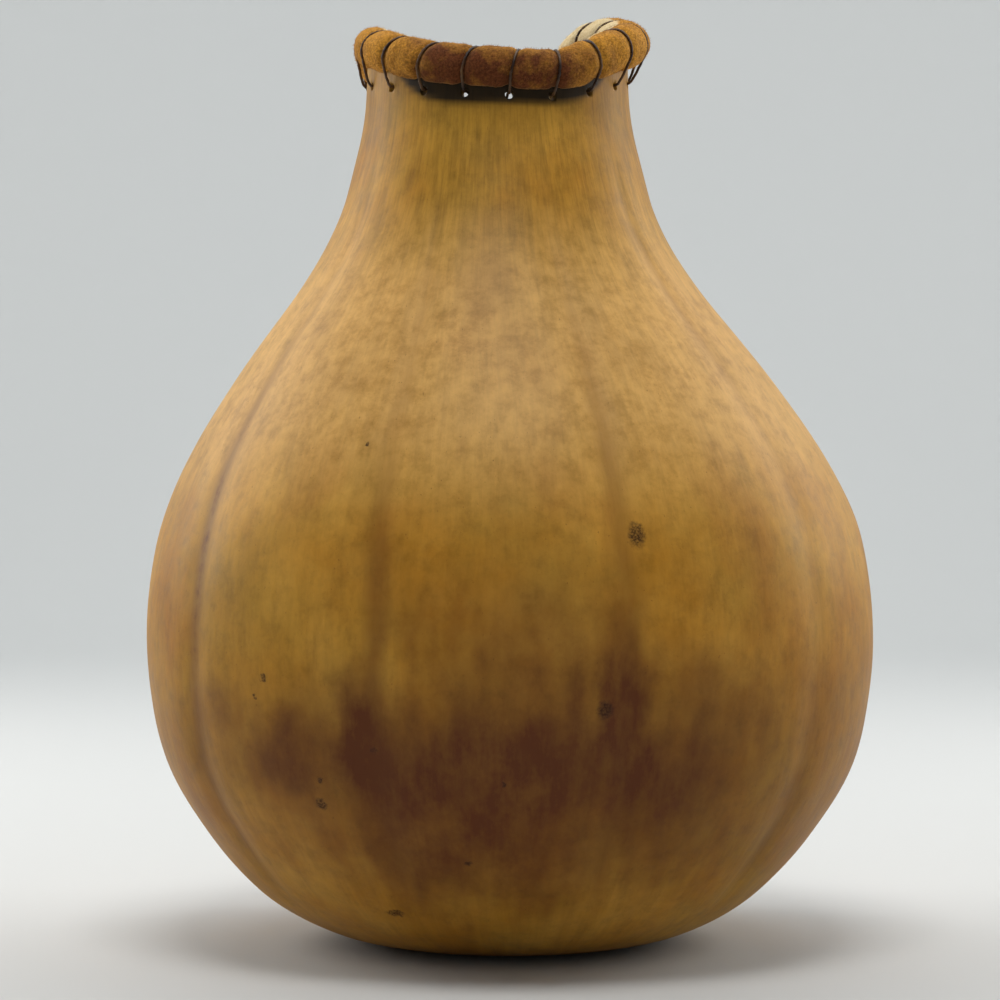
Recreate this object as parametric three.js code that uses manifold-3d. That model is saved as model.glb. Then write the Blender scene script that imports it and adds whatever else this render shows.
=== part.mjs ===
// A dried bottle gourd, opened at the neck and finished as a vessel: the hollow gourd with its row of drilled
// holes, a strip of suede folded over the wavy cut edge, and the waxed thread that lashes the suede down.
// Millimetres, +Z up. The origin is the centre of the flat spot that the gourd stands on, and -Y is its front.
import * as THREE from "three";
import { mergeVertices } from "three/addons/utils/BufferGeometryUtils.js";
import Module from "manifold-3d";

// Driving dimensions of the gourd. The neck leans to one side, and the creases are shallow folds in the rind.
const FLAT_RADIUS = 36;
const WALL = 5;
const RIM_WALL = 4.4;
const NECK_LEAN = -4;
const LEAN_START = 120;
const LEAN_END = 235;
const CREASES = 10;
const FIRST_CREASE = 16;
const CREASE_DEPTH = 1.3;
const CREASE_SHARPNESS = 6;
const CREASES_RISE_FROM = [2, 40];
const CREASES_DIE_OUT = [200, 262];
const OUT_OF_ROUND = 0.003;

// Outside of the gourd, radius and height, from the edge of the flat spot up to a level mouth.
const MOUTH_HEIGHT = 280;
const OUTLINE = [
  [FLAT_RADIUS, 0],
  [58, 4.6],
  [79, 16.4],
  [97, 36.6],
  [110.4, 60.5],
  [115.8, 92],
  [113, 124.5],
  [103.4, 150.8],
  [86, 179],
  [64, 207.8],
  [52.6, 227.4],
  [46, 246.5],
  [42.6, 261.5],
  [41.7, MOUTH_HEIGHT],
];

// Height of the cut edge round the mouth. A bearing is in degrees from the front towards +X.
const RIM_RADIUS = 39.6;
const WAVE_START = 236;
const RIM_KNOTS = [
  [-95, 285.4],
  [-68, 283.2],
  [-30, 276.4],
  [5, 273.6],
  [30, 274.2],
  [60, 282],
  [90, 287.8],
  [118, 292.2],
  [136, 289.6],
  [150, 276],
  [166, 267],
  [200, 265.6],
  [236, 273],
];

// Driving dimensions of the suede binding, whose slot takes the cut edge.
const BINDING_RADIUS = 6.3;
const SLOT_TOP = 0.8;
const SLOT_GAP = 0.55;

// Driving dimensions of the lashing. The holes sit lower under the rim where the rim rises.
const HOLES = 19;
const FIRST_HOLE = 5;
const HOLE_RADIUS = 1.35;
const HOLE_DROP = 8;
const HOLE_DROP_PER_RISE = 0.35;
const LOW_RIM = 273.5;
const THREAD_RADIUS = 0.5;
const THREAD_GAP = 0.35;
const THREAD_CLEAR_OF_WALL = 1.2;
const STITCH_SLANT = 2;
const KNOT_RADIUS = 1.5;
const KNOT_DROP = 5.5;
const KNOT_ASIDE = 0.1;

// How finely the curves are stepped.
const SEGMENTS = CREASES * 6;
const OUTER_RINGS = 21;
const INNER_RINGS = 12;
const BINDING_SIDES = 10;
const DRILL_SIDES = 8;
const STEPS_PER_STITCH = 16;
const THREAD_SIDES = 6;
const KNOT_SEGMENTS = [10, 7];
const TANGENT_STEP = 1.5;

const wasm = await Module();
wasm.setup();

const TURN = 2 * Math.PI;
const radians = THREE.MathUtils.degToRad;
const smoothstep = THREE.MathUtils.smoothstep;

// The bearing of a point, in radians from the front towards +X, and the direction that a bearing points in.
const bearingOf = (point) => Math.atan2(point.x, -point.y);
const outwardsAt = (bearing) => new THREE.Vector3(Math.sin(bearing), -Math.cos(bearing), 0);

// How far the axis of the gourd has wandered sideways at a height.
const leanAt = (z) => NECK_LEAN * smoothstep(z, LEAN_START, LEAN_END);

// The knots of the rim, with those on either side of the seam repeated a turn away so that the wave closes.
const firstKnot = radians(RIM_KNOTS[0][0]);
const turned = ([bearing, height], degrees) => [bearing + degrees, height];
const closedKnots = [
  turned(RIM_KNOTS.at(-1), -360),
  ...RIM_KNOTS,
  turned(RIM_KNOTS[0], 360),
  turned(RIM_KNOTS[1], 360),
];
const rimWave = new THREE.CubicInterpolant(
  closedKnots.map(([bearing]) => radians(bearing)),
  closedKnots.map(([, height]) => height),
  1,
);

function rimHeight(bearing) {
  const turns = Math.floor((bearing - firstKnot) / TURN);
  return rimWave.evaluate(bearing - turns * TURN)[0];
}

// The middle line of the cut edge.
function rimPoint(bearing) {
  const point = outwardsAt(bearing).multiplyScalar(RIM_RADIUS);
  point.z = rimHeight(bearing);
  point.x += leanAt(point.z);
  return point;
}

// A point so far outwards and so far upwards from the middle line, in the plane that the rim crosses squarely.
function besideRim(bearing, outwards, upwards) {
  const step = radians(TANGENT_STEP);
  const along = rimPoint(bearing + step).sub(rimPoint(bearing - step)).normalize();
  const radial = outwardsAt(bearing);
  const out = radial.addScaledVector(along, -radial.dot(along)).normalize();
  const up = new THREE.Vector3().crossVectors(out, along);
  return rimPoint(bearing).addScaledVector(out, outwards).addScaledVector(up, upwards);
}

// A point on the axis of a drilled hole, so far outwards from the middle of the wall.
const holeBearing = (k) => radians(FIRST_HOLE) + (k * TURN) / HOLES;

function holePoint(k, outwards) {
  const bearing = holeBearing(k);
  const rim = rimHeight(bearing);
  const point = outwardsAt(bearing).multiplyScalar(RIM_RADIUS + outwards);
  point.z = rim - HOLE_DROP - HOLE_DROP_PER_RISE * Math.max(0, rim - LOW_RIM);
  point.x += leanAt(point.z);
  return point;
}

// Turns a closed geometry into a solid that can be joined and cut, and a solid back into a geometry.
function toSolid(geometry) {
  geometry.deleteAttribute("normal");
  geometry.deleteAttribute("uv");
  const merged = mergeVertices(geometry, 1e-4);
  return new wasm.Manifold(
    new wasm.Mesh({
      numProp: 3,
      vertProperties: new Float32Array(merged.attributes.position.array),
      triVerts: new Uint32Array(merged.index.array),
    }),
  );
}

function toGeometry(solid) {
  const { vertProperties, triVerts } = solid.getMesh();
  const geometry = new THREE.BufferGeometry();
  geometry.setAttribute("position", new THREE.BufferAttribute(vertProperties, 3));
  geometry.setIndex(new THREE.BufferAttribute(triVerts, 1));
  geometry.computeVertexNormals();
  return geometry;
}

// Moves every vertex of a geometry by a rule.
function reshape(geometry, rule) {
  const position = geometry.attributes.position;
  const point = new THREE.Vector3();
  for (let i = 0; i < position.count; i++) {
    rule(point.fromBufferAttribute(position, i));
    position.setXYZ(i, point.x, point.y, point.z);
  }
  return geometry;
}

// A profile of radius and height, turned about +Z with a seam on the first crease.
function turnedOnLathe(profile) {
  const points = profile.map(([radius, height]) => new THREE.Vector2(radius, height));
  const geometry = new THREE.LatheGeometry(points, SEGMENTS);
  return geometry.rotateX(Math.PI / 2).rotateZ(radians(FIRST_CREASE));
}

// The gourd's profile: out along the flat spot, up the outside, over the cut edge and down the inside.
function gourdProfile() {
  const outside = new THREE.SplineCurve(OUTLINE.map(([r, z]) => new THREE.Vector2(r, z)));
  const outer = outside.getSpacedPoints(OUTER_RINGS).map((point) => [point.x, point.y]);
  const inner = [[OUTLINE.at(-1)[0] - RIM_WALL, MOUTH_HEIGHT]];
  for (let ring = INNER_RINGS - 1; ring > 0; ring--) {
    const point = outside.getPointAt(ring / INNER_RINGS);
    const along = outside.getTangentAt(ring / INNER_RINGS);
    const thinned = smoothstep(point.y, LEAN_END, MOUTH_HEIGHT);
    const wall = THREE.MathUtils.lerp(WALL, RIM_WALL, thinned);
    inner.push([point.x - along.y * wall, point.y + along.x * wall]);
  }
  return [[0, 0], ...outer, ...inner, [0, WALL]];
}

// Shallow creases run from the neck down to the foot, and the mouth is cut in a wave.
function growGourd(point) {
  const bearing = bearingOf(point);
  const radius = Math.hypot(point.x, point.y);
  const onBelly = smoothstep(point.z, ...CREASES_RISE_FROM) * (1 - smoothstep(point.z, ...CREASES_DIE_OUT));
  const crease = Math.cos((CREASES / 2) * (bearing - radians(FIRST_CREASE))) ** CREASE_SHARPNESS;
  const swell = -OUT_OF_ROUND * Math.cos(2 * bearing);
  const grown = radius * (1 + swell * onBelly) - CREASE_DEPTH * crease * onBelly;
  if (radius > 0) point.multiply(new THREE.Vector3(grown / radius, grown / radius, 1));
  if (point.z > WAVE_START) {
    const share = (point.z - WAVE_START) / (MOUTH_HEIGHT - WAVE_START);
    point.z = THREE.MathUtils.lerp(WAVE_START, rimHeight(bearing), share);
  }
  point.x += leanAt(point.z);
}

function drill(k) {
  const geometry = new THREE.CylinderGeometry(HOLE_RADIUS, HOLE_RADIUS, 6 * WALL, DRILL_SIDES);
  const middle = holePoint(k, 0);
  return geometry.rotateZ(holeBearing(k)).translate(middle.x, middle.y, middle.z);
}

function gourdBody() {
  let solid = toSolid(reshape(turnedOnLathe(gourdProfile()), growGourd));
  for (let k = 0; k < HOLES; k++) solid = solid.subtract(toSolid(drill(k)));
  return toGeometry(solid);
}

// The suede is folded over the edge, so its section is a round horseshoe with the wall in its slot.
function suedeBinding() {
  const slot = RIM_WALL / 2 + SLOT_GAP;
  const lip = Math.asin(slot / BINDING_RADIUS);
  const section = [];
  for (let side = 0; side <= BINDING_SIDES; side++) {
    const a = -Math.PI / 2 + lip + ((TURN - 2 * lip) * side) / BINDING_SIDES;
    section.push([BINDING_RADIUS * Math.cos(a), BINDING_RADIUS * Math.sin(a)]);
  }
  section.push([-slot, SLOT_TOP], [slot, SLOT_TOP], section[0]);
  const ring = turnedOnLathe(section.map(([out, up]) => [RIM_RADIUS + out, up]));
  reshape(ring, (point) => {
    const outwards = Math.hypot(point.x, point.y) - RIM_RADIUS;
    point.copy(besideRim(bearingOf(point), outwards, point.z));
  });
  return toGeometry(toSolid(ring));
}

// One whip stitch: steeply up from a hole and over the binding, and slanting down inside to the next hole.
const INSIDE = -RIM_WALL / 2 - THREAD_CLEAR_OF_WALL;
const OUTSIDE = RIM_WALL / 2 + THREAD_CLEAR_OF_WALL;
const OVER_THE_BINDING = [-25, 15, 55, 95, 135, 175, 205].map(radians);

function stitchPoints(k) {
  const lift = BINDING_RADIUS + THREAD_RADIUS + THREAD_GAP;
  const over = OVER_THE_BINDING.map((a, i) => {
    const share = ((i + 1) / (OVER_THE_BINDING.length + 1)) ** STITCH_SLANT;
    const bearing = holeBearing(k + share);
    return besideRim(bearing, lift * Math.cos(a), lift * Math.sin(a));
  });
  return [holePoint(k, INSIDE), holePoint(k, 0), holePoint(k, OUTSIDE), ...over];
}

// The thread makes one round of the mouth, and its two ends are knotted together inside the neck.
function lashingThread() {
  const knot = holePoint(-KNOT_ASIDE, INSIDE - KNOT_RADIUS);
  knot.z -= KNOT_DROP;
  const sideways = new THREE.Vector3(KNOT_RADIUS / 2, 0, 0);
  const points = [knot.clone().add(sideways)];
  for (let k = 0; k < HOLES; k++) points.push(...stitchPoints(k));
  points.push(holePoint(HOLES - 2 * KNOT_ASIDE, INSIDE - THREAD_RADIUS), knot.clone().sub(sideways));
  const path = new THREE.CatmullRomCurve3(points, false, "centripetal");
  path.arcLengthDivisions = points.length * STEPS_PER_STITCH;
  const section = new THREE.Shape().absarc(0, 0, THREAD_RADIUS, 0, TURN);
  const tube = new THREE.ExtrudeGeometry(section, {
    steps: HOLES * STEPS_PER_STITCH,
    curveSegments: THREAD_SIDES / 2,
    extrudePath: path,
  });
  const ball = new THREE.SphereGeometry(KNOT_RADIUS, ...KNOT_SEGMENTS).translate(knot.x, knot.y, knot.z);
  return toGeometry(toSolid(tube).add(toSolid(ball)));
}

function piece(name, geometry, color, roughness) {
  const material = new THREE.MeshStandardMaterial({ color, roughness, metalness: 0 });
  const mesh = new THREE.Mesh(geometry, material);
  mesh.name = name;
  return mesh;
}

const vessel = new THREE.Group();
vessel.add(piece("gourd_body", gourdBody(), 0xa87c34, 0.42));
vessel.add(piece("suede_binding", suedeBinding(), 0x8a5a24, 0.95));
vessel.add(piece("lashing_thread", lashingThread(), 0x2c170b, 0.4));

export default vessel;
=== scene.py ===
import bisect
import math
import random

import bmesh
import bpy
from mathutils import Matrix, Vector, noise


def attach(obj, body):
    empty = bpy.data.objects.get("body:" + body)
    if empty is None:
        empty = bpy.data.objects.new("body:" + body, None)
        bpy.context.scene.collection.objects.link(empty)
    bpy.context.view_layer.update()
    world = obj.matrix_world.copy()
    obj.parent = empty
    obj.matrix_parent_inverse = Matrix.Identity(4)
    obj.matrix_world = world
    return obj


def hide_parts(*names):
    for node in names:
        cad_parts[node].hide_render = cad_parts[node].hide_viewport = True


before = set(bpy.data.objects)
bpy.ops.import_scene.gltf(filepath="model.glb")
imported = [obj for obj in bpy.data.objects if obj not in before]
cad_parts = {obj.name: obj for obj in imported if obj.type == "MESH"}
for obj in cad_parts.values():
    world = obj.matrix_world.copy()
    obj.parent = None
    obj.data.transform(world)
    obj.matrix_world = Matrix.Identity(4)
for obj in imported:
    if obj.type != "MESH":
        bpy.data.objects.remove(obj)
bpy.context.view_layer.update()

# The dried gourd.
# One hollow rind about 5 mm thick, grown on the vine and dried hard, with shallow creases down its belly.
# Its top was sawn off in a wave, the pith scraped out, and a row of lacing holes drilled under the cut edge.
gourd_flat_radius = 0.036
gourd_wall = 0.005
gourd_rim_wall = 0.0044
gourd_mouth_height = 0.280
gourd_outline = [
    (gourd_flat_radius, 0.0),
    (0.058, 0.0046),
    (0.079, 0.0164),
    (0.097, 0.0366),
    (0.1104, 0.0605),
    (0.1158, 0.092),
    (0.113, 0.1245),
    (0.1034, 0.1508),
    (0.086, 0.179),
    (0.064, 0.2078),
    (0.0526, 0.2274),
    (0.046, 0.2465),
    (0.0426, 0.2615),
    (0.0417, gourd_mouth_height),
]
gourd_rows_per_span = 12
gourd_columns = 360
neck_lean = -0.004
lean_heights = (0.120, 0.235)
wave_start = 0.236
rim_radius = 0.0396
rim_knots = [
    (-95, 0.2854),
    (-68, 0.2832),
    (-30, 0.2764),
    (5, 0.2736),
    (30, 0.2742),
    (60, 0.282),
    (90, 0.2878),
    (118, 0.2922),
    (136, 0.2896),
    (150, 0.276),
    (166, 0.267),
    (200, 0.2656),
    (236, 0.273),
]
rim_lap = [(bearing + turn, height) for turn in (-360, 0, 360) for bearing, height in rim_knots]
rim_lap_bearings = [bearing for bearing, _ in rim_lap]
crease_count = 10
first_crease = math.radians(16)
crease_depth = 0.0011
crease_half_width = math.radians(3.4)
crease_wander = math.radians(2.2)
crease_foot = (0.002, 0.040)
crease_neck = (0.200, 0.262)
out_of_round = 0.003
dent_depth = 0.0006
ripple_depth = 0.00018
hole_count = 19
first_hole = math.radians(5)
hole_radius = 0.00135
hole_drop = 0.008
hole_drop_per_rise = 0.35
low_rim = 0.2735


def smoothstep(value, low, high):
    share = min(max((value - low) / (high - low), 0.0), 1.0)
    return share * share * (3.0 - 2.0 * share)


def lerp(start, end, share):
    return start + (end - start) * share


def spline_point(points, place):
    """A point on the smooth curve through the points, where place counts whole points."""
    span = min(int(place), len(points) - 2)
    t = place - span
    before, start, end, after = (
        Vector(points[min(max(span + step, 0), len(points) - 1)]) for step in (-1, 0, 1, 2)
    )
    leave = (end - before) / 2
    arrive = (after - start) / 2
    return (
        start * (2 * t**3 - 3 * t**2 + 1)
        + leave * (t**3 - 2 * t**2 + t)
        + end * (3 * t**2 - 2 * t**3)
        + arrive * (t**3 - t**2)
    )


def lean_at(height):
    return neck_lean * smoothstep(height, *lean_heights)


def bearing_of(point):
    """The bearing of a point round the gourd's own axis, in radians from the front towards +X."""
    return math.atan2(point.x - lean_at(point.z), -point.y)


def outwards_at(bearing):
    return Vector((math.sin(bearing), -math.cos(bearing), 0.0))


def rim_height(bearing):
    """The height of the cut edge, on a closed wave through the knots."""
    degrees = (math.degrees(bearing) - rim_knots[0][0]) % 360 + rim_knots[0][0]
    i = bisect.bisect_right(rim_lap_bearings, degrees) - 1
    (a0, z0), (a1, z1), (a2, z2), (a3, z3) = rim_lap[i - 1 : i + 3]
    t = (degrees - a1) / (a2 - a1)
    leave = (z2 - z0) / (a2 - a0) * (a2 - a1)
    arrive = (z3 - z1) / (a3 - a1) * (a2 - a1)
    return (
        z1 * (2 * t**3 - 3 * t**2 + 1)
        + leave * (t**3 - 2 * t**2 + t)
        + z2 * (3 * t**2 - 2 * t**3)
        + arrive * (t**3 - t**2)
    )


def crease_at(bearing, height):
    """How deep in a crease a place on the rind is, from 0 to 1. Each crease wanders a little and has its own depth."""
    pitch = math.tau / crease_count
    index = round((bearing - first_crease) / pitch) % crease_count
    wander = crease_wander * noise.noise((index * 3.7, height * 14.0, 0.5))
    aside = bearing - first_crease - wander
    aside -= pitch * round(aside / pitch)
    strength = 0.75 + 0.5 * noise.noise((index * 5.1, height * 9.0, 2.5))
    return strength * math.exp(-((aside / crease_half_width) ** 2))


def hole_bearing(k):
    return first_hole + k * math.tau / hole_count


def hole_point(k, outwards):
    """A point on the axis of a drilled hole, so far outwards from the middle of the wall."""
    bearing = hole_bearing(k)
    rim = rim_height(bearing)
    point = outwards_at(bearing) * (rim_radius + outwards)
    point.z = rim - hole_drop - hole_drop_per_rise * max(0.0, rim - low_rim)
    point.x += lean_at(point.z)
    return point


def grow_rind(point):
    """Moves a point of the turned shape to where it grew: creases, dents, the wave of the mouth and the lean."""
    bearing = math.atan2(point.x, -point.y)
    radius = math.hypot(point.x, point.y)
    if radius < 1e-6:
        return point
    on_belly = smoothstep(point.z, *crease_foot) * (1 - smoothstep(point.z, *crease_neck))
    grown = radius * (1 - out_of_round * math.cos(2 * bearing) * on_belly)
    grown -= crease_depth * crease_at(bearing, point.z) * on_belly
    loose = smoothstep(point.z, 0.001, 0.02) * (1 - smoothstep(point.z, 0.24, 0.262))
    grown += dent_depth * loose * noise.noise(point * 19.0)
    grown += ripple_depth * loose * noise.noise(point * 62.0 + Vector((4.0, 0.0, 0.0)))
    height = point.z
    if height > wave_start:
        share = (height - wave_start) / (gourd_mouth_height - wave_start)
        height = lerp(wave_start, rim_height(bearing), share)
    moved = outwards_at(bearing) * grown
    return Vector((moved.x + lean_at(height), moved.y, height))


def gourd_profile():
    """Out along the flat spot, up the outside, over the cut edge and down the inside."""
    steps = (len(gourd_outline) - 1) * gourd_rows_per_span
    outside = [spline_point(gourd_outline, i / gourd_rows_per_span) for i in range(steps + 1)]
    flat_rows = [Vector((gourd_flat_radius * share, 0.0)) for share in (0.0, 0.35, 0.7, 0.92)]
    inside = [Vector((gourd_outline[-1][0] - gourd_rim_wall, gourd_mouth_height))]
    for i in range(steps - 3, 0, -3):
        along = (outside[i + 1] - outside[i - 1]).normalized()
        thinned = smoothstep(outside[i].y, lean_heights[1], gourd_mouth_height)
        wall = lerp(gourd_wall, gourd_rim_wall, thinned)
        inside.append(outside[i] + Vector((-along.y, along.x)) * wall)
    return flat_rows + outside + inside + [Vector((0.0, gourd_wall))]


def new_piece(name, shape, material):
    """A smooth-shaded object of the piece's shape, at the origin, with its material."""
    mesh = bpy.data.meshes.new(name)
    shape.to_mesh(mesh)
    shape.free()
    mesh.materials.append(material)
    mesh.shade_smooth()
    piece = bpy.data.objects.new(name, mesh)
    bpy.context.scene.collection.objects.link(piece)
    return piece


def add_node(tree, kind, inputs=None, **settings):
    """A shader node with its settings, whose inputs are sockets to link or values to set."""
    made = tree.nodes.new("ShaderNode" + kind)
    for name, value in settings.items():
        setattr(made, name, value)
    for name, value in (inputs or {}).items():
        if isinstance(value, bpy.types.NodeSocket):
            tree.links.new(value, made.inputs[name])
        else:
            made.inputs[name].default_value = value
    return made


def new_material(name):
    """A material with an empty tree, and its finished surface shader."""
    material = bpy.data.materials.new(name)
    material.use_nodes = True
    tree = material.node_tree
    shader = tree.nodes["Principled BSDF"]
    return material, tree, shader


def ramp(tree, factor, stops):
    """A colour ramp through the stops, each a place from 0 to 1 and a grey or a colour."""
    made = add_node(tree, "ValToRGB", {"Fac": factor})
    elements = made.color_ramp.elements
    while len(elements) < len(stops):
        elements.new(0.5)
    for element, (place, colour) in zip(elements, stops):
        element.position = place
        element.color = (*colour, 1.0) if isinstance(colour, tuple) else (colour, colour, colour, 1.0)
    return made.outputs["Color"]


def blend_colour(tree, factor, below, above, mode="MIX"):
    """One colour laid over another."""
    made = add_node(tree, "Mix", data_type="RGBA", blend_type=mode)
    for index, value in ((0, factor), (6, below), (7, above)):
        if isinstance(value, bpy.types.NodeSocket):
            tree.links.new(value, made.inputs[index])
        else:
            made.inputs[index].default_value = (*value, 1.0) if isinstance(value, tuple) else value
    return made.outputs[2]


def noise_on(tree, place, scale, detail=3.0, roughness=0.55, stretch=(1.0, 1.0, 1.0), shift=0.0):
    """Cloudy noise from 0 to 1 over a place, stretched along its axes."""
    mapped = add_node(tree, "Mapping", {"Vector": place, "Scale": stretch, "Location": (shift, shift, shift)})
    made = add_node(
        tree,
        "TexNoise",
        {"Vector": mapped.outputs["Vector"], "Scale": scale, "Detail": detail, "Roughness": roughness},
    )
    return made.outputs["Fac"]


def maths(tree, operation, first, second=0.0, clamp=False):
    made = add_node(tree, "Math", operation=operation, use_clamp=clamp)
    for index, value in ((0, first), (1, second)):
        if isinstance(value, bpy.types.NodeSocket):
            tree.links.new(value, made.inputs[index])
        else:
            made.inputs[index].default_value = value
    return made.outputs["Value"]


honey = (0.47, 0.212, 0.020)
straw = (0.60, 0.315, 0.050)
olive = (0.37, 0.205, 0.022)
amber = (0.38, 0.145, 0.012)
# Pale tan, used for the shoulder's pale mottling and for painted light on it.
pale_tan_and_light = (0.66, 0.385, 0.120)
red_brown = (0.118, 0.032, 0.0065)
crease_brown = (0.13, 0.043, 0.010)
scab_brown = (0.035, 0.014, 0.007)
# Painted shadow colour, laid on the rind under the front of the binding.
painted_shadow_black = (0.005, 0.004, 0.0035)
pith = (0.52, 0.36, 0.17)

# Each scab is at a bearing in degrees and a height, with half of its width and of its height.
scabs = [
    (18.8, 0.1315, 0.0029, 0.0046),
    (-38.4, 0.0895, 0.0013, 0.0014),
    (-40.3, 0.0838, 0.0006, 0.0010),
    (-30.8, 0.0530, 0.0020, 0.0022),
    (-30.0, 0.0602, 0.0010, 0.0014),
    (-20.5, 0.0690, 0.0017, 0.0018),
    (-1.0, 0.0603, 0.0006, 0.0015),
    (-7.4, 0.0362, 0.0013, 0.0011),
    (-24.5, 0.0190, 0.0030, 0.0014),
    (13.4, 0.0816, 0.0028, 0.0030),
    (-24.0, 0.1573, 0.0008, 0.0010),
    (96.0, 0.1210, 0.0024, 0.0034),
    (131.0, 0.0720, 0.0017, 0.0016),
    (-112.0, 0.0640, 0.0021, 0.0026),
    (-150.0, 0.1120, 0.0012, 0.0014),
]


outside_points = [
    spline_point(gourd_outline, i / gourd_rows_per_span)
    for i in range((len(gourd_outline) - 1) * gourd_rows_per_span + 1)
]
outside_heights = [point.y for point in outside_points]


def rind_radius(height):
    """The radius of the outside of the gourd at a height, before the mouth was cut in a wave."""
    i = min(max(bisect.bisect_right(outside_heights, height), 1), len(outside_points) - 1)
    below, above = outside_points[i - 1], outside_points[i]
    return lerp(below.x, above.x, (height - below.y) / (above.y - below.y))


def gourd_material():
    material, tree, shader = new_material("waxed_gourd_rind")
    place = add_node(tree, "TexCoord").outputs["Object"]
    grain = add_node(tree, "Attribute", attribute_name="grain_place").outputs["Vector"]
    masks = add_node(tree, "Attribute", attribute_name="rind_masks").outputs["Color"]
    parts = add_node(tree, "SeparateColor", {"Color": masks})
    crease, stain_and_shade, rim_shade = (parts.outputs[name] for name in ("Red", "Green", "Blue"))
    inside = add_node(tree, "Attribute", attribute_name="rind_inside").outputs["Fac"]

    height = add_node(tree, "SeparateXYZ", {"Vector": place}).outputs["Z"]
    on_neck = add_node(
        tree,
        "MapRange",
        {"Value": height, "From Min": 0.198, "From Max": 0.240},
        interpolation_type="SMOOTHSTEP",
    ).outputs["Result"]
    clouds = noise_on(tree, place, 26.0, 5.0, 0.6)
    mottle = noise_on(tree, place, 170.0, 5.0, 0.7, shift=3.0)
    broad_streaks = noise_on(tree, grain, 9.0, 5.0, 0.62, (1.0, 1.0, 0.42))
    fine_streaks = noise_on(tree, grain, 44.0, 5.0, 0.68, (1.0, 1.0, 0.15), 2.0)

    colour = blend_colour(tree, ramp(tree, clouds, [(0.36, 0.0), (0.66, 1.0)]), honey, straw)
    patches = noise_on(tree, place, 13.0, 4.0, 0.6, shift=7.0)
    colour = blend_colour(tree, ramp(tree, patches, [(0.46, 0.0), (0.70, 0.7)]), colour, olive)
    warm = noise_on(tree, place, 30.0, 4.0, 0.6, (1.0, 1.0, 0.55), 12.0)
    colour = blend_colour(tree, ramp(tree, warm, [(0.50, 0.0), (0.74, 0.75)]), colour, amber)
    # Pale mottling and painted light: the shoulder band, facing up to the overhead light, is lightened towards pale
    # tan over most of its area, more where the mottle is high.
    shoulder_light_and_mottle = add_node(
        tree,
        "MapRange",
        {"Value": height, "From Min": 0.128, "From Max": 0.172, "To Max": 0.85},
        interpolation_type="SMOOTHSTEP",
    ).outputs["Result"]
    shoulder_light_and_mottle = maths(tree, "MULTIPLY", shoulder_light_and_mottle, maths(tree, "SUBTRACT", 1.0, on_neck))
    shoulder_light_and_mottle = maths(tree, "MULTIPLY", shoulder_light_and_mottle, ramp(tree, mottle, [(0.28, 0.55), (0.60, 1.0)]))
    colour = blend_colour(tree, shoulder_light_and_mottle, colour, pale_tan_and_light)
    streak_tone = ramp(tree, broad_streaks, [(0.30, 0.62), (0.52, 1.0), (0.75, 1.15)])
    streak_share = maths(tree, "MULTIPLY_ADD", on_neck, 0.35)
    streak_share.node.inputs[2].default_value = 0.35
    colour = blend_colour(tree, streak_share, colour, streak_tone, "MULTIPLY")
    fine_tone = ramp(tree, fine_streaks, [(0.32, 0.66), (0.55, 1.0), (0.75, 1.14)])
    colour = blend_colour(tree, streak_share, colour, fine_tone, "MULTIPLY")
    mottle_tone = ramp(tree, mottle, [(0.30, 0.66), (0.5, 1.0), (0.70, 1.16)])
    colour = blend_colour(tree, 0.6, colour, mottle_tone, "MULTIPLY")

    # Painted shade: the lower belly, facing down away from the lights, is darkened below its widest part, with a
    # ragged upper edge, fading out just above the foot.
    belt_height = maths(tree, "ADD", height, maths(tree, "MULTIPLY", maths(tree, "SUBTRACT", patches, 0.5), 0.05))
    lower_belly_shade = add_node(
        tree,
        "MapRange",
        {"Value": belt_height, "From Min": 0.102, "From Max": 0.066, "To Max": 0.62},
        interpolation_type="SMOOTHSTEP",
    ).outputs["Result"]
    foot = add_node(tree, "MapRange", {"Value": height, "From Min": 0.012, "From Max": 0.038})
    lower_belly_shade = maths(tree, "MULTIPLY", lower_belly_shade, foot.outputs["Result"])
    colour = blend_colour(tree, lower_belly_shade, colour, (0.60, 0.53, 0.50), "MULTIPLY")
    damp = noise_on(tree, place, 60.0, 6.0, 0.7, (1.0, 1.0, 0.6), 5.0)
    torn = maths(tree, "ADD", maths(tree, "MULTIPLY", damp, 0.75), maths(tree, "MULTIPLY", fine_streaks, 0.25))
    # Stains with painted shade: the broad blotches low on the front are deepened to stand in for shade, and the foot
    # is darkened as painted shade.
    stained_and_shaded = maths(tree, "MULTIPLY", stain_and_shade, ramp(tree, torn, [(0.34, 0.66), (0.60, 1.2)]), True)
    colour = blend_colour(tree, stained_and_shaded, colour, red_brown)
    narrow = maths(tree, "POWER", crease, 4.0)
    crease_ink = maths(tree, "MULTIPLY", narrow, ramp(tree, mottle, [(0.3, 0.22), (0.65, 0.62)]), True)
    colour = blend_colour(tree, crease_ink, colour, crease_brown)

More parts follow.
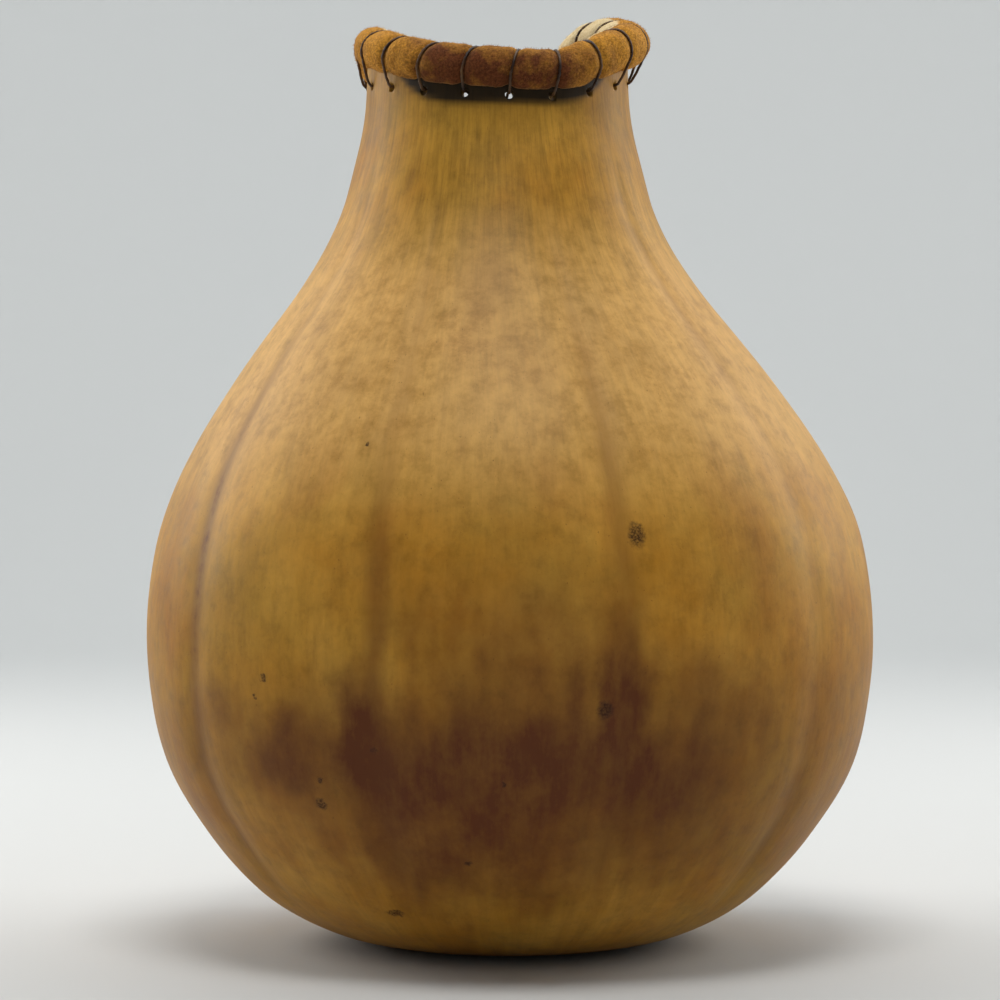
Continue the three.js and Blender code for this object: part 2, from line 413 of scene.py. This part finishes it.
    wobble = add_node(tree, "TexNoise", {"Vector": place, "Scale": 900.0, "Detail": 2.0})
    shaken = add_node(tree, "VectorMath", {0: wobble.outputs["Color"], 1: (0.0022, 0.0022, 0.0022)}, operation="MULTIPLY")
    shaken = add_node(tree, "VectorMath", {0: place, 1: shaken.outputs["Vector"]}, operation="ADD")
    shaken = add_node(tree, "VectorMath", {0: shaken.outputs["Vector"], 1: (0.0011, 0.0011, 0.0011)}, operation="SUBTRACT")
    scabbed = 0.0
    for degrees, height, half_width, half_height in scabs:
        centre = outwards_at(math.radians(degrees)) * rind_radius(height)
        centre += Vector((lean_at(height), 0.0, height))
        away = add_node(tree, "VectorMath", {0: shaken.outputs["Vector"], 1: centre}, operation="SUBTRACT")
        spread = (1 / half_width, 1 / half_width, 1 / half_height)
        scaled = add_node(tree, "VectorMath", {0: away.outputs["Vector"], 1: spread}, operation="MULTIPLY")
        reach = add_node(tree, "VectorMath", {0: scaled.outputs["Vector"]}, operation="LENGTH").outputs["Value"]
        covered = add_node(tree, "MapRange", {"Value": reach, "From Min": 1.1, "From Max": 0.6})
        scabbed = maths(tree, "MAXIMUM", scabbed, covered.outputs["Result"])
    crust = noise_on(tree, place, 1500.0, 3.0, 0.7)
    scabbed = maths(tree, "MULTIPLY", scabbed, ramp(tree, crust, [(0.38, 0.40), (0.58, 1.0)]), True)
    colour = blend_colour(tree, maths(tree, "MULTIPLY", scabbed, 0.9), colour, scab_brown)

    pores = noise_on(tree, grain, 150.0, 2.0, 0.5, (1.0, 1.0, 0.55), 9.0)
    pore_mask = ramp(tree, pores, [(0.71, 0.0), (0.77, 0.55)])
    colour = blend_colour(tree, pore_mask, colour, crease_brown)
    # Painted shadow: the rind under the front of the binding is painted near black.
    colour = blend_colour(tree, rim_shade, colour, painted_shadow_black)
    pith_tone = blend_colour(tree, ramp(tree, broad_streaks, [(0.3, 0.0), (0.7, 1.0)]), pith, olive)
    colour = blend_colour(tree, inside, colour, pith_tone)
    tree.links.new(colour, shader.inputs["Base Color"])

    rough = maths(tree, "MULTIPLY_ADD", mottle, 0.16)
    rough.node.inputs[2].default_value = 0.40
    rough = maths(tree, "MAXIMUM", rough, maths(tree, "MULTIPLY", inside, 0.85))
    rough = maths(tree, "MAXIMUM", rough, maths(tree, "MULTIPLY", scabbed, 0.8))
    tree.links.new(rough, shader.inputs["Roughness"])
    shader.inputs["Specular IOR Level"].default_value = 0.17

    relief = maths(tree, "ADD", maths(tree, "MULTIPLY", fine_streaks, 0.5), maths(tree, "MULTIPLY", mottle, 0.5))
    bump = add_node(tree, "Bump", {"Height": relief, "Strength": 0.35, "Distance": 0.0004})
    tree.links.new(bump.outputs["Normal"], shader.inputs["Normal"])
    return material


# Each blotch of stain and painted shade is at a bearing in degrees and a height, with half of its width in degrees,
# half of its height, and its strength. The broad low blotches on the front are partly painted shade.
stain_and_shade_blotches = [
    (0.0, 0.058, 46.0, 0.040, 0.72),
    (-4.0, 0.058, 22.0, 0.033, 0.62),
    (2.0, 0.104, 18.0, 0.024, 0.38),
    (-22.5, 0.076, 4.0, 0.022, 0.80),
    (-23.0, 0.048, 3.2, 0.034, 0.45),
    (16.5, 0.074, 5.0, 0.034, 0.75),
    (-35.0, 0.068, 8.0, 0.014, 0.62),
    (-49.0, 0.080, 7.0, 0.010, 0.40),
    (30.0, 0.082, 12.0, 0.018, 0.40),
    (26.0, 0.060, 10.0, 0.014, 0.45),
    (-19.5, 0.112, 2.4, 0.034, 0.40),
    (9.0, 0.100, 9.0, 0.018, 0.35),
    (-4.0, 0.205, 7.0, 0.016, 0.20),
    (150.0, 0.058, 40.0, 0.034, 0.60),
    (166.0, 0.064, 12.0, 0.020, 0.50),
    (-130.0, 0.070, 24.0, 0.022, 0.50),
    (-165.0, 0.088, 9.0, 0.016, 0.40),
    (95.0, 0.060, 20.0, 0.020, 0.40),
]


def stain_and_shade_at(bearing, height):
    """How dark the rind is stained where it lay on damp ground, in soft ragged blotches; the broad blotches low on the
    front are deepened with painted shade, and the ring of darkening round its foot is painted shade.
    """
    ragged = 0.30 * noise.noise((math.sin(bearing) * 5.0, math.cos(bearing) * 5.0, height * 40.0))
    ragged += 0.22 * noise.noise((bearing * 22.0, height * 70.0, 9.0))
    clear = 1 - 0.30 * (1 - smoothstep(height + 0.004 * ragged, 0.001, 0.008))
    for degrees, middle, half_width, half_height, strength in stain_and_shade_blotches:
        aside = (math.degrees(bearing) - degrees + 180) % 360 - 180
        reach = math.hypot(aside / half_width, (height - middle) / half_height) + ragged
        clear *= 1 - strength * (1 - smoothstep(reach, 0.25, 1.35))
    return 1 - clear


def rim_shade_at(bearing, height):
    """Painted shadow: near-black shade painted on the rind under the front of the binding, dipping lowest at the front
    where the roll's overhang shades it.
    """
    aside = (math.degrees(bearing) - 3.0) / 50.0
    lowest = 0.2626 + 0.0108 * aside**4
    return 0.95 * smoothstep(height, lowest - 0.0014, lowest + 0.0016) if abs(aside) < 1.2 else 0.0


def paint_rind(mesh):
    """Stores, for each vertex, where the grain runs and how creased, stained and shaded the rind is there."""
    mesh.attributes.new("grain_place", "FLOAT_VECTOR", "POINT")
    mesh.attributes.new("rind_masks", "FLOAT_COLOR", "POINT")
    mesh.attributes.new("rind_inside", "FLOAT", "POINT")
    grain = mesh.attributes["grain_place"]
    masks = mesh.attributes["rind_masks"]
    inside = mesh.attributes["rind_inside"]
    for i, vertex in enumerate(mesh.vertices):
        point = vertex.co
        bearing = bearing_of(point)
        grain.data[i].vector = (math.cos(bearing), math.sin(bearing), point.z * 12.0)
        on_belly = smoothstep(point.z, *crease_foot) * (1 - smoothstep(point.z, *crease_neck))
        crease = crease_at(bearing, point.z) * on_belly
        masks.data[i].color = (
            crease,
            stain_and_shade_at(bearing, point.z),
            rim_shade_at(bearing, point.z),
            1.0,
        )
        radius = math.hypot(point.x - lean_at(point.z), point.y)
        unwaved = point.z
        if unwaved > wave_start:
            share = (point.z - wave_start) / (rim_height(bearing) - wave_start)
            unwaved = lerp(wave_start, gourd_mouth_height, min(share, 1.0))
        deep = rind_radius(unwaved) - radius
        inside.data[i].value = smoothstep(deep, 0.0025, 0.0035) if point.z > 0.0025 else 0.0


gourd_shape = bmesh.new()
profile_points = [gourd_shape.verts.new((point.x, 0.0, point.y)) for point in gourd_profile()]
profile_lines = [gourd_shape.edges.new(pair) for pair in zip(profile_points, profile_points[1:])]
bmesh.ops.spin(
    gourd_shape,
    geom=profile_points + profile_lines,
    axis=(0, 0, 1),
    cent=(0, 0, 0),
    angle=math.tau,
    steps=gourd_columns,
    use_merge=True,
)
bmesh.ops.remove_doubles(gourd_shape, verts=gourd_shape.verts, dist=1e-6)
bmesh.ops.recalc_face_normals(gourd_shape, faces=gourd_shape.faces)
for vertex in gourd_shape.verts:
    vertex.co = grow_rind(vertex.co)

drill_shape = bmesh.new()
for k in range(hole_count):
    turn = Matrix.Rotation(hole_bearing(k), 4, "Z") @ Matrix.Rotation(math.radians(90), 4, "X")
    bmesh.ops.create_cone(
        drill_shape,
        cap_ends=True,
        segments=20,
        radius1=hole_radius,
        radius2=hole_radius,
        depth=0.016,
        matrix=Matrix.Translation(hole_point(k, 0.0)) @ turn,
    )
rind_finish = gourd_material()
drills = new_piece("drills", drill_shape, rind_finish)
gourd = new_piece("dried_gourd", gourd_shape, rind_finish)
cut = gourd.modifiers.new("lacing_holes", "BOOLEAN")
cut.operation = "DIFFERENCE"
cut.solver = "EXACT"
cut.object = drills
drilled = bpy.data.meshes.new_from_object(gourd.evaluated_get(bpy.context.evaluated_depsgraph_get()))
gourd.modifiers.clear()
gourd.data = drilled
bpy.data.objects.remove(drills)
paint_rind(gourd.data)
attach(gourd, "root")
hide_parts("gourd_body")

# The suede binding.
# A strip of tan suede, dyed on its outer side, folded over the cut edge as a fat roll so that its pale side shows
# inside the mouth. The lashing pulls it in at every stitch, and its nap stands up in short fibres.
binding_radius = 0.0063
binding_slot_top = 0.0008
binding_slot_gap = 0.00045
binding_columns = 600
binding_sides = 60
pinch_depth = 0.0007
pinch_half_width = 0.0015
bulge_height = 0.0004
fat_side = math.radians(84)
fat_half_width = math.radians(34)
fat_height = 0.0026
lump_depth = 0.0005
nap_depth = 0.00016
nap_tufts = 60
fibres_per_tuft = 150
nap_length = (0.0004, 0.0010)
nap_half_width = 0.00006
stitch_reach = math.radians(320)
stitch_start = math.radians(-65)


def rim_point(bearing):
    point = outwards_at(bearing) * rim_radius
    point.z = rim_height(bearing)
    point.x += lean_at(point.z)
    return point


def rim_frame(bearing):
    """The middle of the cut edge, and the directions outwards and upwards from it, square to the rim."""
    step = math.radians(1.5)
    along = (rim_point(bearing + step) - rim_point(bearing - step)).normalized()
    radial = outwards_at(bearing)
    out = (radial - along * radial.dot(along)).normalized()
    return rim_point(bearing), out, out.cross(along)


def stitch_share(angle):
    """How far towards the next hole a stitch has come, by its angle round the binding's section."""
    return max(0.0, (angle - stitch_start) / stitch_reach) ** 2


def pinch_at(bearing, angle):
    """How tightly the lashing pulls the suede in at a place, from 0 to 1."""
    pitch = math.tau / hole_count
    aside = (bearing - hole_bearing(stitch_share(angle))) / pitch
    aside = (aside - round(aside)) * pitch * (rim_radius + binding_radius * math.cos(angle))
    return math.exp(-((aside / pinch_half_width) ** 2))


def fatness_at(bearing, angle):
    """How much fuller the roll is where the strip is folded thickest, on the outside of the mouth's right side."""
    aside = (bearing - fat_side + math.pi) % math.tau - math.pi
    return fat_height * math.exp(-((aside / fat_half_width) ** 2)) * max(0.0, math.cos(angle))


def suede_point(bearing, angle, frame_here):
    """A point of the napped surface of the binding, by its bearing and its angle round the section."""
    centre, out, up = frame_here
    smooth = out * math.cos(angle) + up * math.sin(angle)
    place = centre + smooth * binding_radius
    pinch = pinch_at(bearing, angle)
    reach = binding_radius - pinch_depth * pinch + bulge_height * (1 - pinch)
    reach += fatness_at(bearing, angle)
    reach += lump_depth * noise.noise(place * 160.0)
    reach += nap_depth * noise.noise(place * 900.0) + nap_depth * 0.6 * noise.noise(place * 2100.0)
    return centre + smooth * reach


def suede_light_at(bearing, angle):
    """Painted light and shade on the suede: how far it is painted tan, most on top of the roll, where the overhead
    light falls, and at the sides of the mouth, where the side panels light it; the dark front stands for the shade
    there.
    """
    on_top = smoothstep(angle, math.radians(20), math.radians(85))
    at_side = smoothstep(abs(math.sin(bearing)), 0.35, 0.85)
    return max(0.7 * on_top, 0.95 * at_side)


def suede_material():
    material, tree, shader = new_material("tan_suede")
    place = add_node(tree, "TexCoord").outputs["Object"]
    pale = add_node(tree, "Attribute", attribute_name="pale_side").outputs["Fac"]
    brushed = noise_on(tree, place, 150.0, 4.0, 0.6)
    specks = noise_on(tree, place, 1400.0, 3.0, 0.7)
    painted_suede_light = add_node(tree, "Attribute", attribute_name="painted_suede_light").outputs["Fac"]
    # Painted light: the suede is painted tan on its lit top and sides and dark on its shaded front, varied by the
    # brushed noise.
    tan_share = maths(tree, "ADD", painted_suede_light, maths(tree, "MULTIPLY", maths(tree, "SUBTRACT", brushed, 0.5), 2.2), True)
    colour = blend_colour(tree, tan_share, (0.120, 0.036, 0.012), (0.47, 0.215, 0.026))
    speck_tone = ramp(tree, specks, [(0.30, 0.45), (0.5, 1.0), (0.70, 1.7)])
    colour = blend_colour(tree, 0.9, colour, speck_tone, "MULTIPLY")
    cream = blend_colour(tree, ramp(tree, specks, [(0.3, 0.0), (0.7, 1.0)]), (0.62, 0.47, 0.25), (0.80, 0.68, 0.44))
    colour = blend_colour(tree, pale, colour, cream)
    tree.links.new(colour, shader.inputs["Base Color"])
    shader.inputs["Roughness"].default_value = 0.95
    shader.inputs["Specular IOR Level"].default_value = 0.15
    shader.inputs["Sheen Weight"].default_value = 0.35
    shader.inputs["Sheen Roughness"].default_value = 0.45
    shader.inputs["Sheen Tint"].default_value = (0.75, 0.45, 0.18, 1.0)
    bump = add_node(tree, "Bump", {"Height": specks, "Strength": 0.6, "Distance": 0.0004})
    tree.links.new(bump.outputs["Normal"], shader.inputs["Normal"])
    return material


lip_angle = math.asin((gourd_rim_wall / 2 + binding_slot_gap) / binding_radius)
first_angle = -math.pi / 2 + lip_angle
last_angle = first_angle + math.tau - 2 * lip_angle
binding_shape = bmesh.new()
slot_half = gourd_rim_wall / 2 + binding_slot_gap
section = [
    (angle, binding_radius * math.cos(angle), binding_radius * math.sin(angle))
    for angle in (lerp(first_angle, last_angle, side / binding_sides) for side in range(binding_sides + 1))
]
section += [(None, -slot_half, binding_slot_top), (None, slot_half, binding_slot_top)]
ring_points = [binding_shape.verts.new((rim_radius + out, 0.0, up)) for _, out, up in section]
ring_lines = [binding_shape.edges.new(pair) for pair in zip(ring_points, ring_points[1:] + ring_points[:1])]
bmesh.ops.spin(
    binding_shape,
    geom=ring_points + ring_lines,
    axis=(0, 0, 1),
    cent=(0, 0, 0),
    angle=math.tau,
    steps=binding_columns,
    use_merge=True,
)
bmesh.ops.remove_doubles(binding_shape, verts=binding_shape.verts, dist=1e-6)
bmesh.ops.recalc_face_normals(binding_shape, faces=binding_shape.faces)
binding_shape.verts.layers.float.new("pale_side")
# Layers for the pale side and for the painted light on the suede.
binding_shape.verts.layers.float.new("painted_suede_light")
pale_layer = binding_shape.verts.layers.float["pale_side"]
suede_light_layer = binding_shape.verts.layers.float["painted_suede_light"]
rim_frames = {}
for vertex in binding_shape.verts:
    bearing = math.atan2(vertex.co.x, -vertex.co.y)
    column = round(bearing / math.tau * binding_columns) % binding_columns
    if column not in rim_frames:
        rim_frames[column] = rim_frame(bearing)
    outwards = math.hypot(vertex.co.x, vertex.co.y) - rim_radius
    upwards = vertex.co.z
    angle = math.atan2(upwards, outwards)
    angle = angle + math.tau if angle < first_angle - 1e-3 else angle
    if math.hypot(outwards, upwards) > binding_radius * 0.99:
        vertex.co = suede_point(bearing, angle, rim_frames[column])
    else:
        centre, out, up = rim_frames[column]
        vertex.co = centre + out * outwards + up * upwards
    # Painted light on the suede, stored for each vertex.
    vertex[suede_light_layer] = suede_light_at(bearing, angle)
    ragged = 0.12 * noise.noise(vertex.co * 500.0)
    vertex[pale_layer] = smoothstep(angle, math.radians(93) + ragged, math.radians(101) + ragged)

draw = random.Random(4)
for _ in range(nap_tufts):
    tuft = bmesh.new()
    tuft.verts.layers.float.new("pale_side")
    tuft.verts.layers.float.new("painted_suede_light")
    tuft_pale = tuft.verts.layers.float["pale_side"]
    tuft_suede_light = tuft.verts.layers.float["painted_suede_light"]
    for _ in range(fibres_per_tuft):
        bearing = draw.uniform(0.0, math.tau)
        angle = draw.uniform(first_angle + 0.1, last_angle - 0.1)
        centre, out, up = rim_frame(bearing)
        root = suede_point(bearing, angle, (centre, out, up))
        tilt = Vector((draw.gauss(0, 0.5), draw.gauss(0, 0.5), draw.gauss(0, 0.5)))
        lie = (out * math.cos(angle) + up * math.sin(angle) + tilt).normalized()
        length = draw.uniform(*nap_length)
        made = bmesh.ops.create_cone(
            tuft,
            cap_ends=True,
            segments=3,
            radius1=nap_half_width,
            radius2=nap_half_width * 0.3,
            depth=length,
            matrix=Matrix.Translation(root + lie * length * 0.3) @ lie.to_track_quat("Z", "X").to_matrix().to_4x4(),
        )
        for vertex in made["verts"]:
            vertex[tuft_pale] = smoothstep(angle, math.radians(93), math.radians(101))
            # Painted light on the nap fibres, as on the roll.
            vertex[tuft_suede_light] = suede_light_at(bearing, angle)
    tuft_mesh = bpy.data.meshes.new("tuft")
    tuft.to_mesh(tuft_mesh)
    tuft.free()
    binding_shape.from_mesh(tuft_mesh)
    bpy.data.meshes.remove(tuft_mesh)
binding = new_piece("suede_roll", binding_shape, suede_material())
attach(binding, "root")
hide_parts("suede_binding")

# The lashing thread.
# One length of dark waxed thread, three plies twisted together, whip-stitched out of each hole, over the roll and
# down inside to the next. It pulls into the suede, and its two ends are knotted together inside the neck.
thread_radius = 0.0005
thread_sides = 12
thread_plies = 3
thread_ply_depth = 0.16
thread_twist_pitch = 0.0042
thread_sunk = 0.00005
thread_clear_of_wall = 0.0012
thread_step = 0.0008
knot_drop = 0.0055
knot_radius = 0.0015
knot_aside = 0.1
knot_size = 0.0005
knot_points = 30


def stitch_points(k):
    """The route of one stitch from inside its hole to the next one."""
    inside = -gourd_rim_wall / 2 - thread_clear_of_wall
    outside = -inside
    pulled_up = Vector((0.0, 0.0, (hole_radius - thread_radius) * 0.9))
    lift = binding_radius - pinch_depth + thread_radius + thread_sunk
    over = []
    for degrees in range(-25, 216, 20):
        angle = math.radians(degrees)
        bearing = hole_bearing(k + stitch_share(angle))
        centre, out, up = rim_frame(bearing)
        reach = lift + fatness_at(bearing, angle)
        over.append(centre + (out * math.cos(angle) + up * math.sin(angle)) * reach)
    return [hole_point(k, outwards) + pulled_up for outwards in (inside, 0.0, outside)] + over


def even_steps(points, step):
    """Points an even step apart along the smooth curve through the points."""
    dense = [spline_point(points, i / 16) for i in range((len(points) - 1) * 16 + 1)]
    route = [dense[0]]
    gone = 0.0
    for start, end in zip(dense, dense[1:]):
        gone += (end - start).length
        if gone >= step:
            route.append(end)
            gone = 0.0
    return route


def twist_thread(shape, route, closed=False):
    """Sweeps the twisted plies of the thread along a route."""
    count = len(route)
    side = (route[1] - route[0]).orthogonal().normalized()
    ring = bmesh.ops.create_circle(shape, cap_ends=not closed, segments=thread_sides, radius=thread_radius)["verts"]
    first_ring = ring
    for i, point in enumerate(route):
        ahead = route[(i + 1) % count] if closed else route[min(i + 1, count - 1)]
        behind = route[i - 1] if closed else route[max(i - 1, 0)]
        along = (ahead - behind).normalized()
        side = (side - along * side.dot(along)).normalized()
        across = along.cross(side)
        if i > 0:
            lines = [line for vertex in ring for line in vertex.link_edges if line.other_vert(vertex) in ring]
            grown = bmesh.ops.extrude_edge_only(shape, edges=list(set(lines)))["geom"]
            ring = [part for part in grown if isinstance(part, bmesh.types.BMVert)]
        spun = i * thread_step / thread_twist_pitch * math.tau
        order = sorted(ring, key=lambda vertex: vertex.index)
        for j, vertex in enumerate(order):
            turn = j / thread_sides * math.tau
            reach = thread_radius * (1 - thread_ply_depth + thread_ply_depth * math.cos(thread_plies * (turn - spun)))
            vertex.co = point + (side * math.cos(turn) + across * math.sin(turn)) * reach
        shape.verts.index_update()
    return first_ring, ring


def thread_material():
    material, tree, shader = new_material("waxed_thread")
    place = add_node(tree, "TexCoord").outputs["Object"]
    # Painted highlight: tan patches along the dark thread stand in for the sheen of its wax.
    painted_thread_sheen = noise_on(tree, place, 130.0, 3.0, 0.6)
    colour = blend_colour(
        tree, ramp(tree, painted_thread_sheen, [(0.40, 0.0), (0.72, 1.0)]), (0.022, 0.009, 0.005), (0.150, 0.075, 0.026)
    )
    tree.links.new(colour, shader.inputs["Base Color"])
    shader.inputs["Roughness"].default_value = 0.42
    shader.inputs["Specular IOR Level"].default_value = 0.3
    fuzz = noise_on(tree, place, 5200.0, 2.0, 0.6)
    bump = add_node(tree, "Bump", {"Height": fuzz, "Strength": 0.3, "Distance": 0.0002})
    tree.links.new(bump.outputs["Normal"], shader.inputs["Normal"])
    return material


knot_centre = hole_point(-knot_aside, -gourd_rim_wall / 2 - thread_clear_of_wall - knot_radius)
knot_centre.z -= knot_drop
knot_out = outwards_at(hole_bearing(-knot_aside))
knot_across = Vector((0.0, 0.0, 1.0)).cross(knot_out)
thread_route = []
for i in range(knot_points):
    turn = 0.3 + (math.tau - 0.6) * i / (knot_points - 1)
    aside = math.sin(turn) + 2 * math.sin(2 * turn)
    upwards = math.cos(turn) - 2 * math.cos(2 * turn)
    loop = knot_across * aside + Vector((0.0, 0.0, upwards)) - knot_out * math.sin(3 * turn)
    thread_route.append(knot_centre + loop * knot_size)
for k in range(hole_count):
    thread_route += stitch_points(k)
thread_route += [
    hole_point(hole_count - 2 * knot_aside, -gourd_rim_wall / 2 - thread_clear_of_wall - thread_radius),
    knot_centre,
]
thread_shape = bmesh.new()
_, last_ring = twist_thread(thread_shape, even_steps(thread_route, thread_step))
bmesh.ops.contextual_create(thread_shape, geom=list(last_ring))
bmesh.ops.recalc_face_normals(thread_shape, faces=thread_shape.faces)
thread = new_piece("lashing", thread_shape, thread_material())
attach(thread, "root")
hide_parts("lashing_thread")

# The studio.
# A round surround of pale paper, whose floor bends up into its wall. One soft light hangs overhead and a little in
# front, broad panels stand behind at both sides, and hardly any light comes from the front.
paper_floor_radius = 1.7
paper_bend = 0.9
paper_top = 3.4
paper_columns = 96
camera_distance = 0.900
camera_height = 0.141
camera_aside = -0.0032
camera_lens = 100.6


def paper_material():
    material, tree, shader = new_material("pale_paper")
    shader.inputs["Base Color"].default_value = (0.60, 0.61, 0.61, 1.0)
    shader.inputs["Roughness"].default_value = 0.9
    shader.inputs["Specular IOR Level"].default_value = 0.1
    return material


def soft_light(name, place, target, size, power, colour):
    lamp = bpy.data.lights.new(name, "AREA")
    lamp.shape = "RECTANGLE"
    lamp.size, lamp.size_y = size
    lamp.energy = power
    lamp.color = colour
    light = bpy.data.objects.new(name, lamp)
    light.location = place
    light.rotation_euler = (Vector(target) - Vector(place)).to_track_quat("-Z", "Y").to_euler()
    bpy.context.scene.collection.objects.link(light)
    return light


paper_shape = bmesh.new()
paper_line = [(0.0, 0.0), (0.4, 0.0), (paper_floor_radius, 0.0)]
for step in range(1, 17):
    turn = math.radians(90) * step / 16
    paper_line.append((paper_floor_radius + paper_bend * math.sin(turn), paper_bend * (1 - math.cos(turn))))
paper_line.append((paper_floor_radius + paper_bend, paper_top))
paper_points = [paper_shape.verts.new((radius, 0.0, height)) for radius, height in paper_line]
paper_edges = [paper_shape.edges.new(pair) for pair in zip(paper_points, paper_points[1:])]
bmesh.ops.spin(
    paper_shape,
    geom=paper_points + paper_edges,
    axis=(0, 0, 1),
    cent=(0, 0, 0),
    angle=math.tau,
    steps=paper_columns,
    use_merge=True,
)
bmesh.ops.remove_doubles(paper_shape, verts=paper_shape.verts, dist=1e-6)
bmesh.ops.recalc_face_normals(paper_shape, faces=paper_shape.faces)
paper = new_piece("paper_surround", paper_shape, paper_material())

soft_light("overhead", (0.0, -0.42, 1.30), (0.0, 0.0, 0.16), (0.50, 0.42), 7.4, (1.0, 0.97, 0.93))
soft_light("left_panel", (-1.00, 0.42, 0.65), (0.0, 0.0, 0.16), (0.8, 0.9), 8.2, (1.0, 0.98, 0.95))
soft_light("right_panel", (1.00, 0.42, 0.65), (0.0, 0.0, 0.16), (0.8, 0.9), 6.8, (1.0, 0.98, 0.95))
soft_light("backdrop_wash", (0.0, 1.00, 2.60), (0.0, 2.5, 0.7), (2.6, 0.5), 52.0, (0.98, 1.0, 1.0))
soft_light("front_wall_wash", (0.0, -1.20, 2.60), (0.0, -2.6, 1.1), (2.0, 0.4), 4.0, (1.0, 1.0, 1.0))
world = bpy.data.worlds.new("studio_air")
world.use_nodes = True
world.node_tree.nodes["Background"].inputs["Color"].default_value = (0.80, 0.86, 0.90, 1.0)
world.node_tree.nodes["Background"].inputs["Strength"].default_value = 0.03
bpy.context.scene.world = world
bpy.context.scene.view_settings.view_transform = "Standard"

lens = bpy.data.cameras.new("camera")
lens.lens = camera_lens
lens.sensor_width = 36.0
camera = bpy.data.objects.new("camera", lens)
camera.location = (camera_aside, -camera_distance, camera_height)
camera.rotation_euler = (math.radians(90), 0.0, 0.0)
bpy.context.scene.collection.objects.link(camera)
bpy.context.scene.camera = camera
